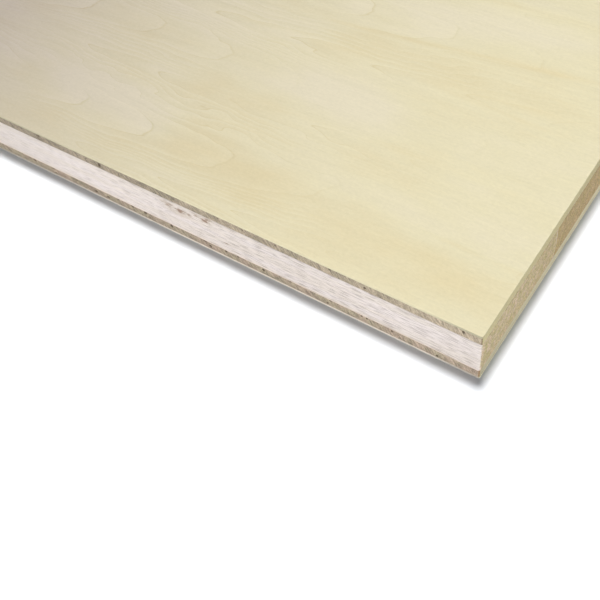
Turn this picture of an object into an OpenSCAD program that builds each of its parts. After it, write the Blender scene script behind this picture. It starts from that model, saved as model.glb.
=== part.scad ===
// Lumber-core plywood sheet, lying flat with its better face up.
// Five layers are glued with their grain crossed: a thin veneer on each side, a crossband under
// each veneer, and a core of solid strips laid edge to edge along the length.
// Millimetres. The origin is the centre of the underside, with +X along the face grain and +Z up.

/* [Sheet] */
// Length of the sheet, along the grain of the faces and of the core strips
sheet_length = 1820; // [900:10:3050]
// Width of the sheet, along the grain of the crossbands
sheet_width = 910; // [450:10:1250]
// Thickness of the whole sheet, sanded
sheet_thickness = 18; // [12:1:30]

/* [Veneers and crossbands] */
// Thickness of each outer veneer
veneer_thickness = 0.7; // [0.4:0.1:1.5]
// Thickness of each crossband
crossband_thickness = 2.6; // [1.6:0.1:3.6]

/* [Core] */
// Width that the core strips are ripped to; the two outer ones are trimmed with the sheet
strip_width = 46; // [25:1:60]

/* [Hidden] */
// Thickness that the veneers and crossbands leave for the core
core_thickness = sheet_thickness - 2 * (veneer_thickness + crossband_thickness);

// Underside of each layer, counted up from the back of the sheet
lower_crossband_base = veneer_thickness;
core_base = lower_crossband_base + crossband_thickness;
upper_crossband_base = core_base + core_thickness;
face_veneer_base = upper_crossband_base + crossband_thickness;

// The strips are laid up centred and wider than the sheet, which is then trimmed to size,
// so an outer strip keeps at least half of its width
strip_count = ceil(sheet_width / strip_width);
layup_start = -strip_count * strip_width / 2;

veneer_colour = "#EAE2BE";
crossband_colour = "#B3A381";
core_colour = "#E8DCD2";

// Name of strip i, counted from the -Y edge, with two digits
function strip_name(i) = str("core_strip_", i < 10 ? "0" : "", i);

// Side of strip i that faces -Y, before the sheet is trimmed
function strip_side(i) = layup_start + (i - 1) * strip_width;

// y held within the trimmed width of the sheet
function trimmed(y) = max(-sheet_width / 2, min(sheet_width / 2, y));

// One layer of wood from y0 to y1, over the whole length of the sheet
module layer(base, thickness, y0 = -sheet_width / 2, y1 = sheet_width / 2) {
    translate([-sheet_length / 2, y0, base])
        cube([sheet_length, y1 - y0, thickness]);
}

module face_veneer() {
    color(veneer_colour) layer(face_veneer_base, veneer_thickness);
}

module upper_crossband() {
    color(crossband_colour) layer(upper_crossband_base, crossband_thickness);
}

// Strip i of the core, butted against its neighbours and trimmed at the sheet's edges
module core_strip(i) {
    color(core_colour)
        layer(core_base, core_thickness, trimmed(strip_side(i)), trimmed(strip_side(i + 1)));
}

module lower_crossband() {
    color(crossband_colour) layer(lower_crossband_base, crossband_thickness);
}

module back_veneer() {
    color(veneer_colour) layer(0, veneer_thickness);
}

face_veneer();
upper_crossband();
for (i = [1 : strip_count])
    core_strip(i);
lower_crossband();
back_veneer();
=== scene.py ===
"""Looks of a lumber-core plywood sheet that lies flat on a pale floor.

The sheet is built up as it is in the press: a face veneer, a crossband, a core of solid strips laid
edge to edge, a second crossband and a back veneer.  Every piece is a closed board with a detailed
sawn rim: eased arrises, small chips, pits in the end grain and fine joints between the plies.
"""

import logging
import math
from dataclasses import dataclass
from enum import Enum
from typing import Sequence, Union

import bpy
import numpy as np
from mathutils import Matrix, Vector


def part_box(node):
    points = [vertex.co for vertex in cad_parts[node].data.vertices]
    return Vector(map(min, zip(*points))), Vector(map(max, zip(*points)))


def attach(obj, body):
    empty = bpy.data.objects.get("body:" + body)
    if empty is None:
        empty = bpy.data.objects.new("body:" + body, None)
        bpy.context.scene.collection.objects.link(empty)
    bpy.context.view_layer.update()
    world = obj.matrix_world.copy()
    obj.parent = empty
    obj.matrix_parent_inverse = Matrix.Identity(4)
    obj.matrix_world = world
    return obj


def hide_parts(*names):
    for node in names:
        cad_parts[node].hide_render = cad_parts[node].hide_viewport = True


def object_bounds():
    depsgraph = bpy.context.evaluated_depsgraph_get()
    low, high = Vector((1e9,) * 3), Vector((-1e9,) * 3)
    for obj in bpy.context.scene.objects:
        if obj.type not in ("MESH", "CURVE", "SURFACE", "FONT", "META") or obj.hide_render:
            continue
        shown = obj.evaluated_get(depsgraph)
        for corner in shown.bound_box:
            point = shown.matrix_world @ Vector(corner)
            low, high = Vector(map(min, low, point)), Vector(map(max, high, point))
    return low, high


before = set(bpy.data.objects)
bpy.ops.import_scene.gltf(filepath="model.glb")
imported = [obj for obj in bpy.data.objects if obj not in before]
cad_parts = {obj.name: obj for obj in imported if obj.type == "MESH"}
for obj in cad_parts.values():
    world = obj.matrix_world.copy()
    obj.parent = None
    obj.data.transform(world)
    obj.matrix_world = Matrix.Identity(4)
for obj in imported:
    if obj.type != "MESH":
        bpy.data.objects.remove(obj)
CAD_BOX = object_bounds()

MM = 0.001  # one millimetre in the scene's metres
GOLDEN = 0.618  # step that spreads a row of values evenly between 0 and 1
SHARP_ANGLE = math.radians(32.0)  # edges that turn by more than this are shown as sharp
SAWN_GLOSS = 0.25  # specular level of bare wood

log = logging.getLogger("plywood")

Socket = bpy.types.NodeSocket
Number = Union[float, Socket]
Colour = tuple[float, float, float]
Pair = tuple[float, float]
Triple = tuple[float, float, float]


class Grain(Enum):
    """The way a ply's fibres run."""

    LENGTHWISE = "lengthwise"
    CROSSWISE = "crosswise"


# ---------------------------------------------------------------------------------------------
# Shape
# ---------------------------------------------------------------------------------------------


@dataclass(frozen=True)
class Outline:
    """A rectangle in plan, with the stations around it at which the rim has its columns.

    The stations run anticlockwise from the low corner, along the front, right, back and left sides.
    """

    low: Pair
    high: Pair
    front_columns: int
    side_columns: int
    crowding: float = 0.7

    def shares(self, columns: int) -> np.ndarray:
        """Shares of one side, t - c sin(2 pi t) / (2 pi), which crowd towards its two ends."""
        t = np.arange(columns) / columns
        return t - self.crowding * np.sin(2.0 * np.pi * t) / (2.0 * np.pi)

    def stations(self) -> tuple[np.ndarray, np.ndarray]:
        """Where each column stands.

        Returns:
            The side, 0 to 3, and the share along it of every column.
        """
        counts = (self.front_columns, self.side_columns, self.front_columns, self.side_columns)
        sides = np.repeat(np.arange(4), counts)
        return sides, np.concatenate([self.shares(count) for count in counts])

    def lengths(self) -> np.ndarray:
        """Length of each of the four sides."""
        along, across = self.high[0] - self.low[0], self.high[1] - self.low[1]
        return np.array([along, across, along, across])

    def around(self) -> float:
        """Length of the whole outline."""
        return float(self.lengths().sum())

    def runs(self) -> np.ndarray:
        """Distance of every column from the start of the outline, measured around it.

        Returns:
            One distance for each column.
        """
        sides, shares = self.stations()
        starts = np.concatenate([[0.0], np.cumsum(self.lengths())[:-1]])
        return starts[sides] + shares * self.lengths()[sides]

    def corner_distance(self) -> np.ndarray:
        """Distance of every column from the nearer corner of its side."""
        sides, shares = self.stations()
        return np.minimum(shares, 1.0 - shares) * self.lengths()[sides]

    def points(self, inset: np.ndarray, step: int = 1) -> tuple[np.ndarray, np.ndarray]:
        """Plan position of every step-th column on the rectangle moved inwards.

        A point slides along its own side in the same share of the shorter, inset side, so at a
        corner the inset counts in both directions and the mitre stays true.

        Args:
            inset: how far inwards, one value for all or an array that ends in one per column.
            step: 1 for every column, 2 for every second one and so on.

        Returns:
            The x and the y of the points.
        """
        sides, shares = self.stations()
        sides, shares = sides[::step], shares[::step]
        x0, x1 = self.low[0] + inset, self.high[0] - inset
        y0, y1 = self.low[1] + inset, self.high[1] - inset
        still = 0 * shares
        x_of_side = [x0 + (x1 - x0) * shares, x1 + still, x1 + (x0 - x1) * shares, x0 + still]
        y_of_side = [y0 + still, y0 + (y1 - y0) * shares, y1 + still, y1 + (y0 - y1) * shares]
        return np.choose(sides, x_of_side), np.choose(sides, y_of_side)


@dataclass(frozen=True)
class Board:
    """A closed board with flat faces, whose rim is a profile carried around its outline.

    The insets are those of the rings that close each face, from the rim inwards.
    """

    outline: Outline
    bottom: float
    top: float
    body_rows: int
    insets: tuple[float, ...]
    arc_rows: int = 3

    def rim_rows(self) -> int:
        """Number of rows in the rim: two arrises and the straight edge between them."""
        return 2 * self.arc_rows + self.body_rows

    def row_places(self, lower: np.ndarray, upper: np.ndarray) -> tuple[np.ndarray, np.ndarray]:
        """Height and inset of every rim point, before relief.

        From the bottom up, a row follows the lower arris as a quarter ellipse, then the straight
        edge, then the upper arris as a quarter ellipse.

        Args:
            lower: inset and height of the lower arris, shaped (2, columns).
            upper: inset and height of the upper arris, shaped (2, columns).

        Returns:
            Heights and insets, both shaped (rows, columns).
        """
        turn = np.linspace(0.0, 0.5 * np.pi, self.arc_rows)[:, None]
        low_z = self.bottom + lower[1] * (1.0 - np.cos(turn))
        low_inset = lower[0] * (1.0 - np.sin(turn))
        high_z = self.top - upper[1] * (1.0 - np.cos(turn[::-1]))
        high_inset = upper[0] * (1.0 - np.sin(turn[::-1]))
        share = np.linspace(0.0, 1.0, self.body_rows + 2)[1:-1, None]
        body_z = low_z[-1] * (1.0 - share) + high_z[0] * share
        z = np.concatenate([low_z, body_z, high_z])
        inset = np.concatenate([low_inset, np.zeros_like(body_z), high_inset])
        return z, inset

    def mesh(
        self, name: str, lower: np.ndarray, upper: np.ndarray, relief: np.ndarray
    ) -> bpy.types.Object:
        """The board as a mesh object.

        The rim is a grid of rows and columns.  Each face is closed by rings inside the rim, each with
        half the points of the one around it, down to a coarse grid in the middle.

        Args:
            name: name of the object.
            lower: inset and height of the lower arris, shaped (2, columns).
            upper: inset and height of the upper arris, shaped (2, columns).
            relief: depth of the rim's surface under the sawn plane, shaped (rows, columns).

        Returns:
            The new object, at the origin, with its place in its mesh.
        """
        z, inset = self.row_places(lower, upper)
        x, y = self.outline.points(inset + relief)
        points = [np.stack([x, y, z], axis=-1).reshape(-1, 3)]
        index = np.arange(z.size).reshape(z.shape)
        after = np.roll(index, -1, axis=1)
        quads = [np.stack([index[:-1], after[:-1], after[1:], index[1:]], axis=-1).reshape(-1, 4)]
        triangles = []
        used = z.size
        for level, ring, upward in ((self.bottom, index[0], False), (self.top, index[-1], True)):
            for depth, ring_inset in enumerate(self.insets, start=1):
                ring_x, ring_y = self.outline.points(np.float64(ring_inset), step=2 ** depth)
                inner = used + np.arange(len(ring_x))
                points.append(np.stack([ring_x, ring_y, np.full(len(ring_x), level)], axis=-1))
                used += len(ring_x)
                triangles.append(self.turned(self.ring_triangles(ring, inner), upward))
                ring = inner
            middle, cells, used = self.middle_grid(ring, level, used)
            points.append(middle)
            quads.append(self.turned(cells, upward))
        obj = mesh_object(name, np.concatenate(points), quads, triangles)
        gone = np.zeros(used)
        gone[:z.size] = (relief + inset).reshape(-1) / MM
        store_values(obj, "bite", gone)
        return obj

    @staticmethod
    def turned(faces: np.ndarray, upward: bool) -> np.ndarray:
        """Faces as they are for the top, and turned over for the bottom."""
        return faces if upward else faces[:, ::-1]

    @staticmethod
    def ring_triangles(outer: np.ndarray, inner: np.ndarray) -> np.ndarray:
        """Triangles between a closed ring and one inside it that has half as many points.

        Args:
            outer: indices of the ring with more points.
            inner: indices of the ring inside it.

        Returns:
            The triangles, shaped (count, 3).
        """
        a, b, c = outer[0::2], outer[1::2], np.roll(outer, -2)[0::2]
        n, m = inner, np.roll(inner, -1)
        corners = ((a, b, n), (b, m, n), (b, c, m))
        return np.concatenate([np.stack(three, axis=-1) for three in corners])

    def middle_grid(
        self, ring: np.ndarray, level: float, used: int
    ) -> tuple[np.ndarray, np.ndarray, int]:
        """Fills the innermost ring with the grid that its own stations span.

        Args:
            ring: indices of the innermost ring, anticlockwise from the low corner.
            level: height of the face.
            used: how many points the mesh has so far.

        Returns:
            The new points, the faces of the grid, and the new count of points.
        """
        step = 2 ** len(self.insets)
        nx, ny = self.outline.front_columns // step, self.outline.side_columns // step
        inset = self.insets[-1]
        along = np.append(self.outline.shares(self.outline.front_columns)[::step], 1.0)
        up = np.append(self.outline.shares(self.outline.side_columns)[::step], 1.0)
        width, depth = self.outline.lengths()[:2]
        x = self.outline.low[0] + inset + along * (width - 2 * inset)
        y = self.outline.low[1] + inset + up * (depth - 2 * inset)
        index = np.zeros((ny + 1, nx + 1), dtype=int)
        inside = (ny - 1) * (nx - 1)
        index[1:-1, 1:-1] = used + np.arange(inside).reshape(ny - 1, nx - 1)
        index[0, :-1] = ring[:nx]
        index[:-1, -1] = ring[nx:nx + ny]
        index[-1, :0:-1] = ring[nx + ny:2 * nx + ny]
        index[:0:-1, 0] = ring[2 * nx + ny:]
        gx, gy = np.meshgrid(x[1:-1], y[1:-1])
        points = np.stack([gx, gy, np.full_like(gx, level)], axis=-1).reshape(-1, 3)
        return points, grid_cells(index), used + inside


def grid_cells(index: np.ndarray) -> np.ndarray:
    """The cells of a grid of points, as faces that look up where x runs along its rows."""
    cells = np.stack([index[:-1, :-1], index[:-1, 1:], index[1:, 1:], index[1:, :-1]], axis=-1)
    return cells.reshape(-1, 4)


def mesh_object(
    name: str, points: np.ndarray, quads: Sequence[np.ndarray], triangles: Sequence[np.ndarray] = ()
) -> bpy.types.Object:
    """A mesh object from whole arrays of points and faces.

    Args:
        name: name of the object and its mesh.
        points: positions, shaped (count, 3).
        quads: arrays of four indices.
        triangles: arrays of three indices.

    Returns:
        The object, linked into the scene, smooth except over arrises.
    """
    faces = np.concatenate(quads).tolist()
    if triangles:
        faces += np.concatenate(triangles).tolist()
    mesh = bpy.data.meshes.new(name)
    mesh.from_pydata(points.tolist(), [], faces)
    mesh.polygons.foreach_set("use_smooth", np.ones(len(mesh.polygons), dtype=bool))
    mesh.set_sharp_from_angle(angle=SHARP_ANGLE)
    mesh.update()
    return linked(name, mesh)


def linked(name: str, data: bpy.types.ID) -> bpy.types.Object:
    """A new object for some data, linked into the scene.

    Args:
        name: name of the object.
        data: the mesh, light or camera that it shows.

    Returns:
        The object.
    """
    obj = bpy.data.objects.new(name, data)
    bpy.context.scene.collection.objects.link(obj)
    return obj


def store_values(obj: bpy.types.Object, name: str, values: np.ndarray) -> None:
    """Stores one number for each point of a mesh object, as the named attribute."""
    attribute = obj.data.attributes.new(name, "FLOAT", "POINT")
    attribute.data.foreach_set("value", values.astype(np.float32))


BITE_DEPTHS: Pair = (0.3, 1.0)  # least and greatest bite, before the bend
BITE_BEND = 1.5  # power that makes shallow bites the more common ones
BITE_LEAST_COLUMNS = 1.1  # least half width of a bite, in columns of the rim
PIT_SIZES: Pair = (0.6, 1.4)  # least and greatest pit, as a share of the mean
PIT_DEPTHS: Pair = (0.35, 1.0)  # least and greatest depth, as a share of a full pit
PIT_LEVELS: Pair = (2.2, 1.1)  # shape of the beta spread of their heights, which leans upwards
PIT_LEAST_COLUMNS = 0.9  # least half width of a pit, in columns of the rim


def bites(
    rng: np.random.Generator, runs: np.ndarray, around: float, gap: float, size: Pair
) -> np.ndarray:
    """Small bites out of an arris, as the share of a full bite at every column.

    A bite is a parabola of the distance along the rim, and where two meet the deeper one counts.

    Args:
        rng: source of the places, widths and depths.
        runs: distance of every column around the outline.
        around: length of the whole outline.
        gap: mean distance from one bite to the next.
        size: least and greatest half width of a bite.

    Returns:
        One value from 0 to 1 for each column.
    """
    count = max(1, int(around / gap))
    place = rng.uniform(0.0, around, count)[:, None]
    spacing = np.interp(place[:, 0], runs, np.gradient(runs))[:, None]
    half = np.maximum(rng.uniform(*size, count)[:, None], BITE_LEAST_COLUMNS * spacing)
    depth = rng.uniform(*BITE_DEPTHS, count)[:, None] ** BITE_BEND
    away = np.abs(runs[None, :] - place)
    return (depth * np.clip(1.0 - (away / half) ** 2, 0.0, 1.0)).max(axis=0)


def pits(
    rng: np.random.Generator,
    runs: np.ndarray,
    heights: np.ndarray,
    around: float,
    gap: float,
    half: Pair,
) -> np.ndarray:
    """Pits in a sawn edge: a sum of round hollows, each exp(-(ds/a)^2) exp(-(dh/b)^2).

    Args:
        rng: source of the places and sizes.
        runs: distance of every column around the outline.
        heights: share of the thickness, 0 to 1, of every row.
        around: length of the whole outline.
        gap: mean distance from one pit to the next.
        half: half width along the rim and half height as a share of the thickness.

    Returns:
        Share of a full pit, shaped (rows, columns).
    """
    count = max(1, int(around / gap))
    place = rng.uniform(0.0, around, count)
    spacing = np.interp(place, runs, np.gradient(runs))
    wide = np.maximum(half[0] * rng.uniform(*PIT_SIZES, count), PIT_LEAST_COLUMNS * spacing)
    high = half[1] * rng.uniform(*PIT_SIZES, count)
    level = rng.beta(*PIT_LEVELS, count)
    depth = rng.uniform(*PIT_DEPTHS, count)
    along = np.exp(-((runs[None, :] - place[:, None]) / wide[:, None]) ** 2)
    up = depth[:, None] * np.exp(-((heights[None, :] - level[:, None]) / high[:, None]) ** 2)
    return np.clip(up.T @ along, 0.0, 1.0)


def eased_corners(distance: np.ndarray, radius: np.ndarray) -> np.ndarray:
    """Inset that rounds the upright corners: r - sqrt(r^2 - (r - d)^2) within r of a corner."""
    reach = np.clip(distance, (1.0 - math.sqrt(0.5)) * radius, radius)
    return radius - np.sqrt(radius ** 2 - (radius - reach) ** 2)


# ---------------------------------------------------------------------------------------------
# Patterns and nodes
# ---------------------------------------------------------------------------------------------


@dataclass(frozen=True)
class Ramp:
    """A range of values and the range that it is carried to, held at both ends.

    A smooth ramp eases in and out, and any other ramp is straight.
    """

    low: float
    high: float
    to_low: float = 0.0
    to_high: float = 1.0
    smooth: bool = True


@dataclass(frozen=True)
class Pattern:
    """Noise in the wood.

    It has the size of its patches in millimetres, a shift that sets it apart from other noise, how
    far it swings a value, and its detail, roughness and warp.
    """

    size: Triple
    shift: float = 0.0
    swing: float = 0.0
    detail: float = 2.0
    rough: float = 0.5
    warp: float = 0.0


MIX_NUMBERS = (0, 2, 3)  # a Mix node's inputs for numbers: share, first, second
MIX_COLOURS = (0, 6, 7)  # the same inputs for colours
MIX_COLOUR_RESULT = 2  # the output for a colour
SHIFT_WAY: Triple = (1.0, 0.7, 1.3)  # way in which a shift moves noise
NOISE_SPREAD: Pair = (0.3, 0.7)  # values between which slow noise mostly lies
SQUARE_ON = Ramp(0.45, 0.75)  # from a slanting surface to one that faces squarely
NEAR_BORDER = Ramp(255.0, 370.0, 1.0, 0.0)  # millimetres over which the corner's painted shade gives way to random tone
ACROSS_WEIGHT = 1.5  # how much more a millimetre across the grain counts there than one along it
WHITE: Colour = (1.0, 1.0, 1.0)


class NodeBench:
    """The node tree of one material, with short calls for what the finishes have in common."""

    def __init__(self, name: str, shift: float = 0.0) -> None:
        """Makes an empty material.

        Args:
            name: name of the material.
            shift: offset that sets its noise apart from the other materials' noise.
        """
        self.shift = shift
        self.material = bpy.data.materials.new(name)
        self.material.use_nodes = True
        self.tree = self.material.node_tree
        self.tree.nodes.clear()

    def add(self, kind: str, **settings: object) -> bpy.types.Node:
        """Adds a node.

        Args:
            kind: type of the node.
            settings: its properties, by name.

        Returns:
            The node.
        """
        node = self.tree.nodes.new(kind)
        for key, value in settings.items():
            setattr(node, key, value)
        return node

    def feed(self, socket: Socket, value: object) -> None:
        """Links an input to a socket, or sets the input's own value.

        Args:
            socket: the input.
            value: another node's output, or a plain value.
        """
        if isinstance(value, Socket):
            self.tree.links.new(value, socket)
        else:
            socket.default_value = value

    def math(self, operation: str, *values: Number, clamp: bool = False) -> Socket:
        """One step of arithmetic.

        Args:
            operation: name of the step.
            values: what the step works on.
            clamp: whether the result is held between 0 and 1.

        Returns:
            The result.
        """
        node = self.add("ShaderNodeMath", operation=operation, use_clamp=clamp)
        for socket, value in zip(node.inputs, values):
            self.feed(socket, value)
        return node.outputs[0]

    def times(self, first: Number, second: Number) -> Socket:
        """Product of two numbers."""
        return self.math("MULTIPLY", first, second)

    def distance(self, x: Number, y: Number) -> Socket:
        """Length of the vector (x, y)."""
        return self.math("SQRT", self.math("MULTIPLY_ADD", y, y, self.times(x, x)))

    def choose(self, share: Number, first: Number, second: Number) -> Socket:
        """Two numbers mixed by a share.

        Args:
            share: 0 for the first number, 1 for the second.
            first: the first number.
            second: the second number.

        Returns:
            The mixed number.
        """
        node = self.add("ShaderNodeMix", data_type="FLOAT")
        for place, value in zip(MIX_NUMBERS, (share, first, second)):
            self.feed(node.inputs[place], value)
        return node.outputs[0]

    def blend(self, share: Number, first: object, second: object, mode: str = "MIX") -> Socket:
        """Two colours brought together by a share.

        Args:
            share: how much the second colour counts, from 0 to 1.
            first: the colour underneath.
            second: the colour on top.
            mode: how the second colour meets the first.

        Returns:
            The colour.
        """
        node = self.add("ShaderNodeMix", data_type="RGBA", blend_type=mode)
        for place, value in zip(MIX_COLOURS, (share, rgba(first), rgba(second))):
            self.feed(node.inputs[place], value)
        return node.outputs[MIX_COLOUR_RESULT]

    def tint(self, share: Number, colour: object, by: object) -> Socket:
        """A colour multiplied by another one, by a share."""
        return self.blend(share, colour, by, mode="MULTIPLY")

    def shade(self, colour: object, tone: Socket) -> Socket:
        """A colour made darker or lighter by a tone."""
        return self.tint(1.0, colour, self.joined(tone, tone, tone))

    def stretch(self, value: Number, ramp: Ramp) -> Socket:
        """A value carried along a ramp.

        Args:
            value: the value.
            ramp: the range that it comes from and the range that it goes to.

        Returns:
            The carried value.
        """
        kind = "SMOOTHSTEP" if ramp.smooth else "LINEAR"
        node = self.add("ShaderNodeMapRange", interpolation_type=kind, clamp=True)
        numbers = (value, ramp.low, ramp.high, ramp.to_low, ramp.to_high)
        for socket, number in zip(node.inputs, numbers):
            self.feed(socket, number)
        return node.outputs[0]

    def place(self, at: Triple = (0.0, 0.0, 0.0)) -> Socket:
        """Object coordinates in millimetres.

        Args:
            at: the point, in metres, that they are counted from.

        Returns:
            The vector from that point.
        """
        source = self.add("ShaderNodeTexCoord")
        node = self.add("ShaderNodeMapping")
        self.feed(node.inputs["Vector"], source.outputs["Object"])
        node.inputs["Scale"].default_value = (1.0 / MM,) * 3
        node.inputs["Location"].default_value = tuple(-value / MM for value in at)
        return node.outputs[0]

    def parts(self, vector: Socket) -> list[Socket]:
        """The x, y and z of a vector.

        Args:
            vector: the vector.

        Returns:
            Its three numbers.
        """
        node = self.add("ShaderNodeSeparateXYZ")
        self.feed(node.inputs[0], vector)
        return list(node.outputs)

    def joined(self, x: Number, y: Number, z: Number) -> Socket:
        """A vector from its three numbers.

        Args:
            x: the first number.
            y: the second number.
            z: the third number.

        Returns:
            The vector.
        """
        node = self.add("ShaderNodeCombineXYZ")
        for socket, value in zip(node.inputs, (x, y, z)):
            self.feed(socket, value)
        return node.outputs[0]

    def noise(self, spot: Socket, pattern: Pattern) -> Socket:
        """The noise of a pattern.

        Args:
            spot: place in millimetres.
            pattern: size, place and character of the noise.

        Returns:
            A value from 0 to 1 that is mostly near 1/2.
        """
        shift = pattern.shift + self.shift
        node = self.add("ShaderNodeMapping")
        self.feed(node.inputs["Vector"], spot)
        node.inputs["Scale"].default_value = tuple(1.0 / value for value in pattern.size)
        node.inputs["Location"].default_value = tuple(shift * way for way in SHIFT_WAY)
        noise = self.add("ShaderNodeTexNoise", noise_dimensions="3D", normalize=True)
        self.feed(noise.inputs["Vector"], node.outputs[0])
        noise.inputs["Scale"].default_value = 1.0
        noise.inputs["Detail"].default_value = pattern.detail
        noise.inputs["Roughness"].default_value = pattern.rough
        noise.inputs["Distortion"].default_value = pattern.warp
        return noise.outputs[0]

    def swung(self, base: Number, noise: Socket, swing: Number) -> Socket:
        """A value moved up and down by noise: base + swing (noise - 1/2)."""
        return self.math("MULTIPLY_ADD", self.math("SUBTRACT", noise, 0.5), swing, base)

    def stirred(self, base: Number, spot: Socket, pattern: Pattern) -> Socket:
        """A value moved up and down by a pattern's noise, as far as the pattern swings."""
        return self.swung(base, self.noise(spot, pattern), pattern.swing)

    def slow_tone(self, spot: Socket, near_tone: Number, drift: Pattern, far_tones: Pair) -> Socket:
        """A slow change from 0 to 1: the given tone near the sheet's corner, and noise far from it.

        Args:
            spot: place in millimetres from the sheet's corner.
            near_tone: the tone near the corner, which the finishes use for painted shade.
            drift: the noise, whose swing is how ragged the border is, in millimetres.
            far_tones: least and greatest tone far from the corner.

        Returns:
            A value from 0 to 1.
        """
        x, y, _ = self.parts(spot)
        noise = self.noise(spot, drift)
        away = self.distance(x, self.times(y, ACROSS_WEIGHT))
        near = self.stretch(self.swung(away, noise, drift.swing), NEAR_BORDER)
        return self.choose(near, self.stretch(noise, Ramp(*NOISE_SPREAD, *far_tones)), near_tone)

    def facing(self) -> tuple[Socket, Socket]:
        """How squarely the surface faces along x and along y.

        Returns:
            Two values from 0 to 1.
        """
        source = self.add("ShaderNodeNewGeometry")
        x, y, _ = self.parts(source.outputs["True Normal"])
        along, across = self.math("ABSOLUTE", x), self.math("ABSOLUTE", y)
        return self.stretch(along, SQUARE_ON), self.stretch(across, SQUARE_ON)

    def bite(self) -> Socket:
        """Depth of wood missing at the rim, in millimetres."""
        return self.add("ShaderNodeAttribute", attribute_name="bite").outputs["Fac"]

    def surface(
        self, colour: Socket, rough: Number, height: Number, depth: float, gloss: float
    ) -> bpy.types.Material:
        """Finishes the material: colour, roughness and a bump.

        Args:
            colour: base colour.
            rough: roughness.
            height: relief, from 0 to 1.
            depth: depth of the relief in millimetres.
            gloss: specular level.

        Returns:
            The material.
        """
        shader = self.add("ShaderNodeBsdfPrincipled")
        shader.inputs["Specular IOR Level"].default_value = gloss
        self.feed(shader.inputs["Base Color"], colour)
        self.feed(shader.inputs["Roughness"], rough)
        bump = self.add("ShaderNodeBump")
        bump.inputs["Strength"].default_value = 1.0
        bump.inputs["Distance"].default_value = depth * MM
        self.feed(bump.inputs["Height"], height)
        self.feed(shader.inputs["Normal"], bump.outputs[0])
        out = self.add("ShaderNodeOutputMaterial")
        self.feed(out.inputs["Surface"], shader.outputs[0])
        return self.material


def rgba(colour: object) -> object:
    """A plain colour with its alpha, or a socket as it is."""
    return colour if isinstance(colour, Socket) else (*colour, 1.0)


# ---------------------------------------------------------------------------------------------
# Finishes
# ---------------------------------------------------------------------------------------------


@dataclass(frozen=True)
class Streak:
    """A stroke of tan wood on the face, or of pale wood where its strength is below 0.

    Its ends are in millimetres from the sheet's corner, along the grain and across it.
    """

    start: Pair
    end: Pair
    half_width: float
    strength: float
    fade_share: float = 0.3
    overshoot: float = 0.3

    def mask(self, bench: NodeBench, x: Socket, y: Socket) -> Socket:
        """Strength of the stroke at every point.

        The stroke is a bell across the line, exp(-(d / w)^2), that fades in and out along it.

        Args:
            bench: node tree to build in.
            x: millimetres from the sheet's corner, along the grain.
            y: millimetres from the sheet's corner, across the grain.

        Returns:
            A value from 0 to the stroke's strength.
        """
        run = self.end[0] - self.start[0]
        slope = (self.end[1] - self.start[1]) / run
        line = bench.math("MULTIPLY_ADD", x, slope, self.start[1] - slope * self.start[0])
        across = bench.math("DIVIDE", bench.math("SUBTRACT", y, line), self.half_width)
        bell = bench.math("EXPONENT", bench.times(bench.math("POWER", across, 2.0), -1.0))
        fade = self.fade_share * run
        past = self.overshoot * fade
        rise = bench.stretch(x, Ramp(self.start[0] - past, self.start[0] + fade))
        fall = bench.stretch(x, Ramp(self.end[0] - fade, self.end[0] + past, 1.0, 0.0))
        return bench.times(bench.times(rise, fall), bench.times(bell, self.strength))


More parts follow.
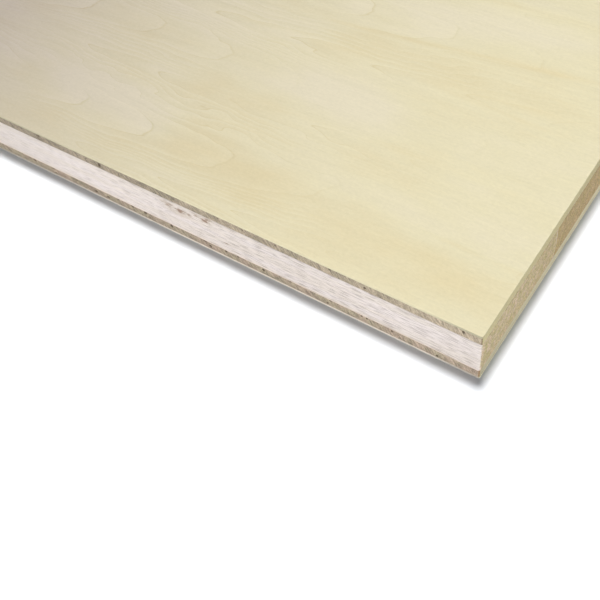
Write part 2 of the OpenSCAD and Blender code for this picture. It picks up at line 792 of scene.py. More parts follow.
@dataclass(frozen=True)
class VeneerFinish:
    """Sanded rotary-cut veneer: faint flame figure, fine fibres, tan streaks and a slow tone change.

    Distances are in millimetres, and places are counted from the sheet's near corner, away from which
    painted shade darkens the colour.  A pair named for both zones holds the value far from that corner
    and the value near it.
    """

    name: str
    corner: Triple
    cream: Colour
    # shade: colour of the painted shade near the corner, and of the slow random tone far from it
    shade: Colour
    tan: Colour
    pale: Colour
    long_edge: Colour
    end_edge: Colour
    shift: float
    streaks: tuple[Streak, ...] = ()
    near_zone: Ramp = Ramp(240.0, 420.0, 1.0, 0.0)

    flame_pitch: float = 35.0
    flame_middle: float = 56.0
    flame_reach: float = 190.0
    far_reach_share: float = 0.3
    ring_pitch: float = 29.0
    sway: Pattern = Pattern((150.0, 40.0, 60.0), 3.0, swing=22.0, detail=1.5)
    wobble: Pattern = Pattern((26.0, 9.0, 9.0), 11.0, swing=7.0)
    wobble_rise: float = 16.0
    far_drift: Pattern = Pattern((900.0, 110.0, 110.0), 19.0, swing=1500.0, detail=1.0)

    clearness: Pattern = Pattern((70.0, 24.0, 24.0), 59.0, detail=1.0)
    clear_range: Ramp = Ramp(0.32, 0.54)
    clear_at_corner: Ramp = Ramp(-100.0, -20.0, 1.0, 0.3)
    late_line: Ramp = Ramp(0.0, 0.05, 1.0, 0.0)
    early_rise: Ramp = Ramp(0.25, 0.96)
    early_end: Ramp = Ramp(0.97, 1.0, 1.0, 0.0)
    early_light_both_zones: Pair = (0.08, 0.03)
    late_dark_both_zones: Pair = (0.085, 0.055)

    # painted shade: the light's falloff away from the corner, painted in as a darker tone, and its
    # fringe
    painted_falloff: Ramp = Ramp(-235.0, 15.0, 1.0, 0.0, smooth=False)
    deepest_painted_shade: float = 0.76
    fringe: float = 200.0
    fringe_end: Ramp = Ramp(-350.0, -240.0, 0.45, 1.0)
    slow_drift: Pattern = Pattern((1300.0, 75.0, 75.0), 29.0, swing=220.0, detail=1.0)
    far_tones: Pair = (0.20, 0.56)
    far_zone: Ramp = Ramp(195.0, 310.0)
    far_tint: Colour = (1.10, 1.07, 1.00)

    band: Pattern = Pattern((130.0, 15.0, 15.0), 37.0, detail=3.0)
    band_swing_both_zones: Pair = (4.5, 1.2)
    cloud: Pattern = Pattern((26.0, 9.0, 9.0), 61.0, swing=2.0, detail=3.0, rough=0.6)
    early_pale: float = 0.45

    fibre: Pattern = Pattern((4.0, 0.5, 0.8), 41.0, swing=0.12, detail=3.0, rough=0.6)
    strand: Pattern = Pattern((60.0, 2.6, 2.6), 43.0, swing=0.10, detail=3.0, rough=0.6)
    speck: Pattern = Pattern((1.1, 0.8, 0.8), 53.0, swing=0.18, detail=3.0, rough=0.7)
    pores: Pattern = Pattern((0.6, 0.45, 0.35), 47.0, swing=0.70)
    # painted shade: the long edge darker far along from the corner, the light's falloff painted in
    edge_painted_falloff: Ramp = Ramp(-185.0, -85.0, 0.58, 0.97)
    # darker within a few millimetres of the corner
    corner_darkening: Ramp = Ramp(3.0, 18.0, 0.66, 1.0)
    bite_light: Ramp = Ramp(0.22, 0.5, 0.0, 0.13)
    roughness: Ramp = Ramp(0.0, 1.0, 0.56, 0.72, smooth=False)
    fibre_height: float = 0.8
    ring_height: float = 0.2
    bump: float = 0.02

    def figure(self, bench: NodeBench, spot: Socket, near: Socket) -> Socket:
        """Height of the growth-ring surface, whose level lines are the flame figure.

        Along the grain the height rises evenly.  Across it, (1 - cos)^2 / 4 makes a row of flames
        with blunt tips and long flanks.  Slow noise bends and, away from the corner, reverses them.

        Args:
            bench: node tree to build in.
            spot: place in millimetres from the sheet's corner.
            near: 1 near the corner, 0 away from it.

        Returns:
            Height in rings.
        """
        x, y, _ = bench.parts(spot)
        wobble = bench.noise(spot, self.wobble)
        bent = bench.swung(bench.stirred(y, spot, self.sway), wobble, self.wobble.swing)
        turn = bench.times(bench.math("SUBTRACT", bent, self.flame_middle), math.tau / self.flame_pitch)
        hump = bench.math("MULTIPLY_ADD", bench.math("COSINE", turn), -0.5, 0.5)
        reach = bench.choose(near, self.far_reach_share * self.flame_reach, self.flame_reach)
        rise = bench.math("MULTIPLY_ADD", bench.math("POWER", hump, 2.0), reach, x)
        far = bench.times(bench.math("SUBTRACT", 1.0, near), self.far_drift.swing)
        rise = bench.swung(rise, bench.noise(spot, self.far_drift), far)
        rise = bench.swung(rise, wobble, self.wobble_rise)
        return bench.math("DIVIDE", rise, self.ring_pitch)

    def rings(self, bench: NodeBench, spot: Socket, near: Socket) -> tuple[Socket, Socket]:
        """The two kinds of wood in a growth ring: a slow rise, and then a thin line.

        Args:
            bench: node tree to build in.
            spot: place in millimetres from the sheet's corner.
            near: 1 near the corner, 0 away from it.

        Returns:
            How much early wood and how much late wood shows, each from 0 to 1.
        """
        x, _, _ = bench.parts(spot)
        phase = bench.math("FRACT", self.figure(bench, spot, near))
        shown = bench.stretch(bench.noise(spot, self.clearness), self.clear_range)
        clear = bench.times(shown, bench.choose(near, 1.0, bench.stretch(x, self.clear_at_corner)))
        late = bench.times(bench.stretch(phase, self.late_line), clear)
        early = bench.times(bench.stretch(phase, self.early_rise), bench.stretch(phase, self.early_end))
        return bench.times(early, clear), late

    def ground(self, bench: NodeBench, spot: Socket, band: Socket) -> Socket:
        """The veneer's colour, darkened by painted shade along the grain away from the corner.

        The painted shade is the square of the distance along the grain, up to a most, and it ends in a
        ragged fringe.

        Args:
            bench: node tree to build in.
            spot: place in millimetres from the sheet's corner.
            band: noise in long bands, which draws the fringe.

        Returns:
            The colour.
        """
        x, y, _ = bench.parts(spot)
        # painted shade, deeper with the square of the distance along the grain
        darker = bench.math("POWER", bench.stretch(x, self.painted_falloff), 2.0)
        darker = bench.math("MINIMUM", darker, self.deepest_painted_shade)
        darker = bench.times(darker, bench.stretch(bench.swung(x, band, self.fringe), self.fringe_end))
        slow = bench.slow_tone(spot, darker, self.slow_drift, self.far_tones)
        away = bench.stretch(bench.distance(x, y), self.far_zone)
        wood = bench.blend(slow, self.cream, self.shade)
        return bench.tint(1.0, wood, bench.blend(away, WHITE, self.far_tint))

    def warmth(
        self, bench: NodeBench, spot: Socket, warm: Socket, early: Socket, late: Socket
    ) -> Socket:
        """How tan the wood is, above 0, or how pale it is, below 0.

        Args:
            bench: node tree to build in.
            spot: place in millimetres from the sheet's corner.
            warm: the share that comes from the long bands.
            early: how much early wood shows.
            late: how much late wood shows.

        Returns:
            The sum of bands, clouds, rings and streaks.
        """
        x, y, _ = bench.parts(spot)
        warm = bench.stirred(warm, spot, self.cloud)
        warm = bench.math("ADD", warm, bench.math("SUBTRACT", late, bench.times(early, self.early_pale)))
        for streak in self.streaks:
            warm = bench.math("ADD", warm, streak.mask(bench, x, y))
        return warm

    def edge_shade_and_corner_tone(self, bench: NodeBench, spot: Socket, side_on: Socket) -> Socket:
        """Tone of the sawn long edge: painted shade that darkens it far along, and darker near the
        corner.

        Args:
            bench: node tree to build in.
            spot: place in millimetres from the sheet's corner.
            side_on: 1 on the long edges.

        Returns:
            The tone, which is 1 off the long edges.
        """
        x, y, _ = bench.parts(spot)
        corner = bench.stretch(bench.distance(x, y), self.corner_darkening)
        return bench.choose(side_on, 1.0, bench.times(bench.stretch(x, self.edge_painted_falloff), corner))

    def material(self) -> bpy.types.Material:
        """The finish as a material.

        Returns:
            The material.
        """
        bench = NodeBench(self.name, self.shift)
        spot = bench.place(self.corner)
        x, y, _ = bench.parts(spot)
        near = bench.stretch(bench.distance(x, y), self.near_zone)
        early, late = self.rings(bench, spot, near)

        band = bench.noise(spot, self.band)
        banded = bench.swung(0.0, band, bench.choose(near, *self.band_swing_both_zones))
        warm = self.warmth(bench, spot, banded, early, late)
        wood = self.ground(bench, spot, band)
        wood = bench.tint(bench.math("MULTIPLY", warm, 1.0, clamp=True), wood, self.tan)
        wood = bench.tint(bench.math("MULTIPLY", warm, -1.0, clamp=True), wood, self.pale)

        fibre = bench.noise(spot, self.fibre)
        tone = bench.swung(1.0, fibre, self.fibre.swing)
        tone = bench.stirred(tone, spot, self.strand)
        tone = bench.stirred(tone, spot, self.speck)
        lighter = bench.times(early, bench.choose(near, *self.early_light_both_zones))
        darker = bench.times(late, bench.choose(near, *self.late_dark_both_zones))
        tone = bench.math("ADD", tone, bench.math("SUBTRACT", lighter, darker))

        end_on, side_on = bench.facing()
        wood = bench.blend(side_on, wood, self.long_edge)
        wood = bench.blend(end_on, wood, self.end_edge)
        tone = bench.times(tone, self.edge_shade_and_corner_tone(bench, spot, side_on))
        tone = bench.choose(end_on, tone, bench.stirred(1.0, spot, self.pores))
        tone = bench.math("ADD", tone, bench.stretch(bench.bite(), self.bite_light))
        rough = bench.stretch(fibre, self.roughness)
        relief = bench.times(early, self.ring_height)
        height = bench.math("MULTIPLY_ADD", fibre, self.fibre_height, relief)
        return bench.surface(bench.shade(wood, tone), rough, height, self.bump, SAWN_GLOSS)


@dataclass(frozen=True)
class CrossbandFinish:
    """Raw edge of a crossband: pored end grain on the long edges, long grain on the short ones.

    Distances are in millimetres, and places are counted from the sheet's near corner.  Away from it
    the tone changes by painted shade and by slow random tone.
    """

    name: str
    corner: Triple
    end_grain: Colour
    end_grain_patch: Colour
    long_grain: Colour
    stain: Colour
    shift: float
    end_grain_shade_and_tone: float
    long_grain_shade_and_tone: float
    stain_reach: float
    blotches: float
    # pore: near-black colour painted into chips and pits, painted shade in the recesses
    pore: Colour = (0.08, 0.055, 0.03)

    patch: Pattern = Pattern((7.0, 30.0, 5.0), detail=3.0)
    patch_range: Ramp = Ramp(0.40, 0.60)
    lean: float = 0.45
    checks: Pattern = Pattern((0.55, 1.0, 2.4), 5.0, rough=0.6)
    check_swing: Ramp = Ramp(20.0, 110.0, 1.7, 1.25)
    pores: Pattern = Pattern((0.34, 30.0, 0.30), 9.0, swing=0.95, detail=1.0)
    blotch: Pattern = Pattern((2.6, 30.0, 1.8), 37.0, detail=1.0)

    streak: Pattern = Pattern((30.0, 16.0, 0.42), 15.0, swing=0.26, detail=3.0, rough=0.6)
    fleck: Pattern = Pattern((30.0, 3.0, 0.25), 21.0, swing=0.28)
    speck: Pattern = Pattern((30.0, 0.55, 0.4), 27.0, swing=0.50, rough=0.6)

    # painted shade: the light's falloff away from the corner, painted in as a darker tone
    painted_falloff: Ramp = Ramp(0.0, 150.0, smooth=False)
    painted_falloff_bend: float = 0.75
    slow_drift: Pattern = Pattern((170.0, 170.0, 40.0), 31.0, swing=220.0, detail=1.0)
    far_tones: Pair = (0.2, 1.0)
    stain_start: float = 0.2
    stain_strength: float = 0.8
    pit_shade: Ramp = Ramp(0.10, 0.28, 0.0, 0.90)
    pore_height: float = 0.6
    roughness: Ramp = Ramp(0.0, 1.0, 0.62, 0.82, smooth=False)
    bump: float = 0.08

    def cut_across(self, bench: NodeBench, spot: Socket, darker: Socket) -> tuple[Socket, Socket]:
        """End grain: two colours in patches, leaning checks, pores and blotches.

        Args:
            bench: node tree to build in.
            spot: place in millimetres from the sheet's corner.
            darker: painted shade near the corner and slow random tone far from it, from 0 to 1.

        Returns:
            The colour and the height.
        """
        x, y, z = bench.parts(spot)
        ground = bench.stretch(bench.noise(spot, self.patch), self.patch_range)
        colour = bench.blend(ground, self.end_grain, self.end_grain_patch)
        leaning = bench.joined(bench.math("MULTIPLY_ADD", z, self.lean, x), 0.0, z)
        checks = bench.noise(leaning, self.checks)
        pores = bench.noise(spot, self.pores)
        tone = bench.swung(1.0, checks, bench.stretch(bench.distance(x, y), self.check_swing))
        tone = bench.math("MULTIPLY_ADD", darker, -self.end_grain_shade_and_tone, tone)
        tone = bench.swung(tone, pores, self.pores.swing)
        tone = bench.swung(tone, bench.noise(spot, self.blotch), self.blotches)
        rest = bench.times(checks, 1.0 - self.pore_height)
        return bench.shade(colour, tone), bench.math("MULTIPLY_ADD", pores, self.pore_height, rest)

    def cut_along(self, bench: NodeBench, spot: Socket, darker: Socket) -> tuple[Socket, Socket]:
        """Long grain: streaks, flecks and specks.

        Args:
            bench: node tree to build in.
            spot: place in millimetres from the sheet's corner.
            darker: painted shade near the corner and slow random tone far from it, from 0 to 1.

        Returns:
            The colour and the height.
        """
        streak = bench.noise(spot, self.streak)
        tone = bench.swung(1.0, streak, self.streak.swing)
        tone = bench.stirred(tone, spot, self.fleck)
        tone = bench.stirred(tone, spot, self.speck)
        tone = bench.math("MULTIPLY_ADD", darker, -self.long_grain_shade_and_tone, tone)
        return bench.shade(self.long_grain, tone), streak

    def material(self) -> bpy.types.Material:
        """The finish as a material.

        Returns:
            The material.
        """
        bench = NodeBench(self.name, self.shift)
        spot = bench.place(self.corner)
        x, y, _ = bench.parts(spot)
        _, side_on = bench.facing()
        away = bench.distance(x, y)
        # painted shade near the corner, slow random tone far from it
        fall = bench.math("POWER", bench.stretch(away, self.painted_falloff), self.painted_falloff_bend)
        darker = bench.slow_tone(spot, fall, self.slow_drift, self.far_tones)
        across, across_height = self.cut_across(bench, spot, darker)
        along, along_height = self.cut_along(bench, spot, darker)

        wood = bench.blend(side_on, along, across)
        stained = Ramp(self.stain_start, self.stain_reach, self.stain_strength, 0.0)
        wood = bench.blend(bench.stretch(away, stained), wood, self.stain)
        # painted shade: chips and pits deeper than 0.1 mm turn near black
        wood = bench.blend(bench.stretch(bench.bite(), self.pit_shade), wood, self.pore)
        height = bench.choose(side_on, along_height, across_height)
        rough = bench.stretch(height, self.roughness)
        return bench.surface(wood, rough, height, self.bump, SAWN_GLOSS)


@dataclass(frozen=True)
class BarkMark:
    """A small bark mark in the core's long edge, in millimetres from the sheet's corner and up."""

    along: float
    up: float
    half_length: float
    half_height: float
    strength: float


@dataclass(frozen=True)
class CoreFinish:
    """Light hardwood core: short pore lines along the grain, and mottled, ringed end grain.

    Distances are in millimetres, and places are counted from the sheet's near corner.
    """

    name: str
    corner: Triple
    underside: float
    bark_marks: tuple[BarkMark, ...] = ()
    long_grain: Colour = (0.733, 0.653, 0.587)
    cool: Colour = (0.955, 0.965, 1.03)
    peach: Colour = (0.98, 0.89, 0.78)
    pore_line: Colour = (0.34, 0.27, 0.23)
    haze: Colour = (0.51, 0.42, 0.33)
    bark: Colour = (0.23, 0.13, 0.08)
    end_grain: Colour = (0.585, 0.46, 0.32)
    end_grain_olive: Colour = (0.47, 0.395, 0.19)
    end_grain_pore: Colour = (0.22, 0.15, 0.07)
    rust: Colour = (0.53, 0.35, 0.14)
    darker_strip: Colour = (0.80, 0.715, 0.56)
    # painted shade: end grain darker away from the corner, across the sheet
    end_painted_shade: Colour = (0.885, 0.865, 0.79)

    strip_apart: float = 740.0
    strip_dark: float = -0.06
    lines: Pattern = Pattern((4.4, 1.6, 0.17), 3.0, detail=1.0, warp=0.15)
    line_range: Ramp = Ramp(0.54, 0.68)
    line_strength: float = 0.80
    calm_start: Ramp = Ramp(60.0, 150.0)
    calm_end: Ramp = Ramp(260.0, 420.0, 0.55, 0.0)
    soft: Pattern = Pattern((38.0, 12.0, 2.0), 7.0, swing=0.24)
    fine: Pattern = Pattern((2.6, 1.0, 0.24), 5.0, swing=0.42, rough=0.6)
    # painted shade: long grain darker far along from the corner, the light's falloff painted in
    far_painted_shade: Ramp = Ramp(-190.0, -110.0, 0.86, 1.0)
    cool_range: Ramp = Ramp(0.42, 0.64, 0.0, 0.7)
    foot: Ramp = Ramp(0.1, 0.8, 0.8, 0.0)

    rag: Pattern = Pattern((1.7, 2.0, 0.5), 61.0, swing=2.6, detail=3.0, rough=0.65)
    mark_edge: Pair = (0.0, 1.30)
    haze_range: Ramp = Ramp(0.0, 0.36, 0.0, 0.70)
    bark_range: Ramp = Ramp(0.28, 0.80, 0.0, 0.80)

    mottle: Pattern = Pattern((40.0, 1.7, 1.7), 13.0, detail=3.0, rough=0.75)
    mottle_range: Ramp = Ramp(0.36, 0.64)
    rust_spots: Pattern = Pattern((20.0, 0.8, 0.8), 23.0, rough=0.7)
    rust_range: Ramp = Ramp(0.58, 0.70, 0.0, 0.7)
    pores: Pattern = Pattern((20.0, 0.40, 0.50), 17.0, detail=3.0, rough=0.75)
    pit_range: Ramp = Ramp(0.62, 0.74, 0.0, 0.6)
    pore_tone: Ramp = Ramp(0.30, 0.70, 1.45, 0.55, smooth=False)
    end_painted_shade_range: Ramp = Ramp(2.0, 50.0)
    roughness: Ramp = Ramp(0.0, 1.0, 0.58, 0.70, smooth=False)
    bump: float = 0.06

    def bark_mask(self, bench: NodeBench, spot: Socket) -> Socket:
        """How much of a bark mark shows: ellipses, drawn ragged by noise along the grain.

        Args:
            bench: node tree to build in.
            spot: place in millimetres from the sheet's corner.

        Returns:
            A value from 0 to 1.
        """
        x, _, z = bench.parts(spot)
        rag = bench.noise(spot, self.rag)
        mask: Number = 0.0
        for mark in self.bark_marks:
            across = bench.math("DIVIDE", bench.math("SUBTRACT", z, mark.up), mark.half_height)
            along = bench.math("DIVIDE", bench.math("SUBTRACT", x, mark.along), mark.half_length)
            away = bench.swung(bench.distance(along, across), rag, self.rag.swing)
            shown = bench.stretch(away, Ramp(*self.mark_edge, mark.strength, 0.0))
            mask = bench.math("ADD", mask, shown, clamp=True)
        return mask

    def pore_lines(self, bench: NodeBench, spot: Socket, own: Socket) -> Socket:
        """Short dark lines along the grain, fewer at a middle distance from the corner.

        Args:
            bench: node tree to build in.
            spot: place in millimetres from the sheet's corner.
            own: the same place, moved apart for each strip.

        Returns:
            A value from 0 to 1.
        """
        x, y, _ = bench.parts(spot)
        away = bench.distance(x, y)
        calm = bench.times(bench.stretch(away, self.calm_start), bench.stretch(away, self.calm_end))
        lines = bench.stretch(bench.noise(own, self.lines), self.line_range)
        return bench.times(lines, bench.math("SUBTRACT", 1.0, calm))

    def cut_along(
        self, bench: NodeBench, spot: Socket, own: Socket, strip: Socket, lines: Socket
    ) -> Socket:
        """Long grain with its pore lines, a peach foot, the bark marks and painted shade far along it.

        Args:
            bench: node tree to build in.
            spot: place in millimetres from the sheet's corner.
            own: the same place, moved apart for each strip.
            strip: the strip's own tone, from 0 to 1.
            lines: how much of a pore line shows.

        Returns:
            The colour.
        """
        x, _, z = bench.parts(spot)
        soft = bench.noise(own, self.soft)
        tone = bench.swung(1.0, soft, self.soft.swing)
        tone = bench.stirred(tone, own, self.fine)
        tone = bench.math("MULTIPLY_ADD", strip, self.strip_dark, tone)
        tone = bench.times(tone, bench.stretch(x, self.far_painted_shade))
        wood = bench.shade(self.long_grain, tone)
        wood = bench.tint(bench.stretch(soft, self.cool_range), wood, self.cool)
        foot = bench.stretch(bench.math("SUBTRACT", z, self.underside), self.foot)
        wood = bench.tint(foot, wood, self.peach)
        wood = bench.blend(bench.times(lines, self.line_strength), wood, self.pore_line)
        marks = self.bark_mask(bench, spot)
        wood = bench.blend(bench.stretch(marks, self.haze_range), wood, self.haze)
        return bench.blend(bench.stretch(marks, self.bark_range), wood, self.bark)

    def cut_across(
        self, bench: NodeBench, spot: Socket, own: Socket, strip: Socket
    ) -> tuple[Socket, Socket]:
        """End grain: two mottled colours, rust spots and pits, darker in some strips and by painted
        shade.

        Args:
            bench: node tree to build in.
            spot: place in millimetres from the sheet's corner.
            own: the same place, moved apart for each strip.
            strip: the strip's own tone, from 0 to 1.

        Returns:
            The colour, and how much of a pit shows.
        """
        _, y, _ = bench.parts(spot)
        mottle = bench.stretch(bench.noise(own, self.mottle), self.mottle_range)
        wood = bench.blend(mottle, self.end_grain, self.end_grain_olive)
        rusty = bench.stretch(bench.noise(own, self.rust_spots), self.rust_range)
        wood = bench.blend(rusty, wood, self.rust)
        pores = bench.noise(own, self.pores)
        pit = bench.stretch(pores, self.pit_range)
        wood = bench.blend(pit, wood, self.end_grain_pore)
        wood = bench.shade(wood, bench.stretch(pores, self.pore_tone))
        wood = bench.tint(strip, wood, self.darker_strip)
        return bench.tint(bench.stretch(y, self.end_painted_shade_range), wood, self.end_painted_shade), pit

    def material(self) -> bpy.types.Material:
        """The finish as a material.

        Returns:
            The material.
        """
        bench = NodeBench(self.name)
        spot = bench.place(self.corner)
        x, y, z = bench.parts(spot)
        end_on, _ = bench.facing()
        strip = bench.add("ShaderNodeAttribute", attribute_name="tone").outputs["Fac"]
        apart = bench.times(strip, self.strip_apart)
        own = bench.joined(bench.math("ADD", x, apart), y, bench.math("ADD", z, apart))
        lines = self.pore_lines(bench, spot, own)
        along = self.cut_along(bench, spot, own, strip, lines)
        across, pit = self.cut_across(bench, spot, own, strip)

        wood = bench.blend(end_on, along, across)
        height = bench.math("SUBTRACT", 1.0, bench.choose(end_on, lines, pit))
        rough = bench.stretch(height, self.roughness)
        return bench.surface(wood, rough, height, self.bump, SAWN_GLOSS)


WoodFinish = Union[VeneerFinish, CrossbandFinish, CoreFinish]


@dataclass(frozen=True)
class FloorFinish:
    """Matt, nearly white studio floor with a very faint speckle."""

    name: str = "studio_floor"
    white: Colour = (0.782, 0.80, 0.824)
    speck: Pattern = Pattern((4.0, 4.0, 4.0), swing=0.02)
    roughness: float = 0.9
    bump: float = 0.01
    gloss: float = 0.0

    def material(self) -> bpy.types.Material:
        """The finish as a material.

        Returns:
            The material.
        """
        bench = NodeBench(self.name)
        speck = bench.noise(bench.place(), self.speck)
        colour = bench.shade(self.white, bench.swung(1.0, speck, self.speck.swing))
        return bench.surface(colour, self.roughness, speck, self.bump, self.gloss)


@dataclass(frozen=True)
class BackdropFinish:
    """Evenly lit white wall."""

    name: str = "studio_backdrop"
    white: Colour = (0.948, 0.973, 1.0)

    def material(self) -> bpy.types.Material:
        """The finish as a material.

        Returns:
            The material.
        """
        bench = NodeBench(self.name)
        glow = bench.add("ShaderNodeEmission")
        bench.feed(glow.inputs["Color"], rgba(self.white))
        out = bench.add("ShaderNodeOutputMaterial")
        bench.feed(out.inputs["Surface"], glow.outputs[0])
        return bench.material


# ---------------------------------------------------------------------------------------------
# The sheet
# ---------------------------------------------------------------------------------------------


@dataclass(frozen=True)
class Chips:
    """Chips along an arris: the mean gap between them, and their least and greatest half width."""

    gap: float
    half_widths: Pair


@dataclass
class Ply:
    """One layer of the sheet, made over its node from the frame.

    Its rim is set back a little, with eased arrises that bites have chipped, and with pits in the
    end grain.  Lengths are in metres, and the half height of a pit is a share of the thickness.
    """

    node: str
    piece: str
    slot: str
    grain: Grain
    seed: int
    lower_ease: float
    upper_ease: float
    setback: float = 0.0
    columns: tuple[int, int] = (1792, 896)
    crowding: float = 0.7
    body_rows: int = 2
    insets: tuple[float, ...] = (1.2 * MM, 3 * MM, 7 * MM, 15 * MM, 31 * MM, 63 * MM)
    tone: float = 0.0

    upper_bites: float = 0.0
    lower_bites: float = 0.0
    bite_height: float = 0.6
    everywhere: Chips = Chips(26 * MM, (0.5 * MM, 1.8 * MM))
    across_fibres: Chips = Chips(4 * MM, (0.3 * MM, 1.1 * MM))

    pit_gap: float = 0.0
    pit_half: Pair = (0.38 * MM, 0.15)
    pit_depth: float = 0.0
    roughness: float = 0.012 * MM
    corner_radius: float = 0.35 * MM
    corner_spread: Pair = (0.6, 2.0)

    def build(self) -> bpy.types.Object:
        """Builds the layer as a closed board and lets it stand for its node.

        Returns:
            The board.
        """
        low, high = (np.array(corner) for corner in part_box(self.node))
        outline = Outline(tuple(low[:2]), tuple(high[:2]), *self.columns, self.crowding)
        board = Board(outline, float(low[2]), float(high[2]), self.body_rows, self.insets)
        rng = np.random.default_rng(self.seed)
        lower = self.arris(rng, outline, self.lower_ease, self.lower_bites)
        upper = self.arris(rng, outline, self.upper_ease, self.upper_bites)
        relief = self.relief(rng, outline, board.rim_rows())
        obj = board.mesh(self.piece, lower, upper, relief)
        store_values(obj, "tone", np.full(len(obj.data.vertices), self.tone))
        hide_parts(self.node)
        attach(obj, "root")
        return obj

    def cut_across(self, outline: Outline) -> np.ndarray:
        """Which columns stand on a side where the saw crossed the fibres."""
        sides, _ = outline.stations()
        return np.isin(sides, (1, 3) if self.grain is Grain.LENGTHWISE else (0, 2))

    def arris(self, rng: np.random.Generator, outline: Outline, ease: float, bite: float) -> np.ndarray:
        """Inset and height of an arris: an even ease, and bites where it has chipped.

        Bites are longer along the edge than deep, and where the saw crossed the fibres there are more.

        Args:
            rng: source of the bites.
            outline: the board's outline.
            ease: inset and height of the ease.
            bite: depth of a full bite, or 0 for none.

        Returns:
            Inset and height at every column, shaped (2, columns).
        """
        runs = outline.runs()
        inset = np.full(len(runs), ease)
        height = np.full(len(runs), ease)
        if bite > 0.0:
            few, many = (
                bites(rng, runs, outline.around(), chips.gap, chips.half_widths)
                for chips in (self.everywhere, self.across_fibres)
            )
            share = np.maximum(few, np.where(self.cut_across(outline), many, 0.0))
            inset += bite * share
            height += self.bite_height * bite * share
        return np.stack([inset, height])

    def relief(self, rng: np.random.Generator, outline: Outline, rows: int) -> np.ndarray:
        """Depth of the sawn edge: set back a little, rough, and pitted across the grain.

        Args:
            rng: source of the roughness, the corners and the pits.
            outline: the board's outline.
            rows: number of rows in the rim.

        Returns:
            Depth at every rim point, shaped (rows, columns).
        """
        runs = outline.runs()
        depth = np.full((rows, len(runs)), self.setback)
        depth += np.abs(rng.normal(0.0, self.roughness, depth.shape))
        ragged = self.corner_radius * rng.uniform(*self.corner_spread, (rows, 1))
        depth += eased_corners(outline.corner_distance(), ragged)
        if self.pit_gap > 0.0:
            heights = np.linspace(0.0, 1.0, rows)
            hollows = pits(rng, runs, heights, outline.around(), self.pit_gap, self.pit_half)
            depth += self.pit_depth * hollows * self.cut_across(outline)
        return depth


